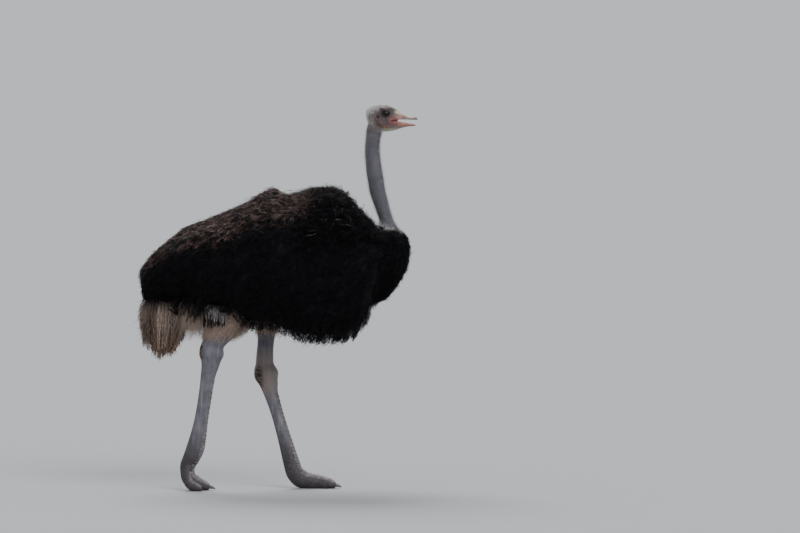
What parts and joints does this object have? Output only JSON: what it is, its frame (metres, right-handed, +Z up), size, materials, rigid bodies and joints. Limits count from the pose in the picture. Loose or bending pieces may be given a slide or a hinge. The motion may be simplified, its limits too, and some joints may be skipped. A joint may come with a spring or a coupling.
{
  "type": "ostrich model",
  "caption": "Still life-size male ostrich in mid stride: black plumage, pale tail plumes, long bare neck, head with open bill, bare legs and two-toed feet flat on the floor.",
  "frame": {"origin": "on the floor, below the middle of the bird's outline seen from above", "axes": "+X the way the bird faces, +Y its left, +Z up"},
  "size_m": [1.3347, 0.6591, 1.8378],
  "materials": {
    "black_plumage": "soft loose black plumes with dark brown lights along the back",
    "tail_plumes": "limp beige-grey plumes, browner at the tips",
    "neck_skin": "grey-violet skin under thin whitish down",
    "head_skin": "grey-brown skin, cream at forehead and throat, pink at the gape",
    "bill_horn": "pinkish horn with darker edges and tip",
    "eye": "large dark wet eye",
    "flank_down": "bare beige-pink skin with fine down, slate blue above the ankle",
    "leg_skin": "slate blue-grey scaly skin with brown calluses",
    "claw_horn": "dark horn, worn at the tip"
  },
  "bodies": {
    "root": {"torso": "black_plumage", "wing_right": "black_plumage", "wing_left": "black_plumage", "tail": "tail_plumes", "neck_lower": "neck_skin", "neck_middle": "neck_skin", "neck_upper": "neck_skin", "head": "head_skin", "bill_upper": "bill_horn", "bill_lower": "bill_horn", "eye_right": "eye", "eye_left": "eye", "drumstick_right": "flank_down", "shank_right": "leg_skin", "toe_big_right": "leg_skin", "toe_small_right": "leg_skin", "claw_right": "claw_horn", "drumstick_left": "flank_down", "shank_left": "leg_skin", "toe_big_left": "leg_skin", "toe_small_left": "leg_skin", "claw_left": "claw_horn"}
  },
  "joints": []
}
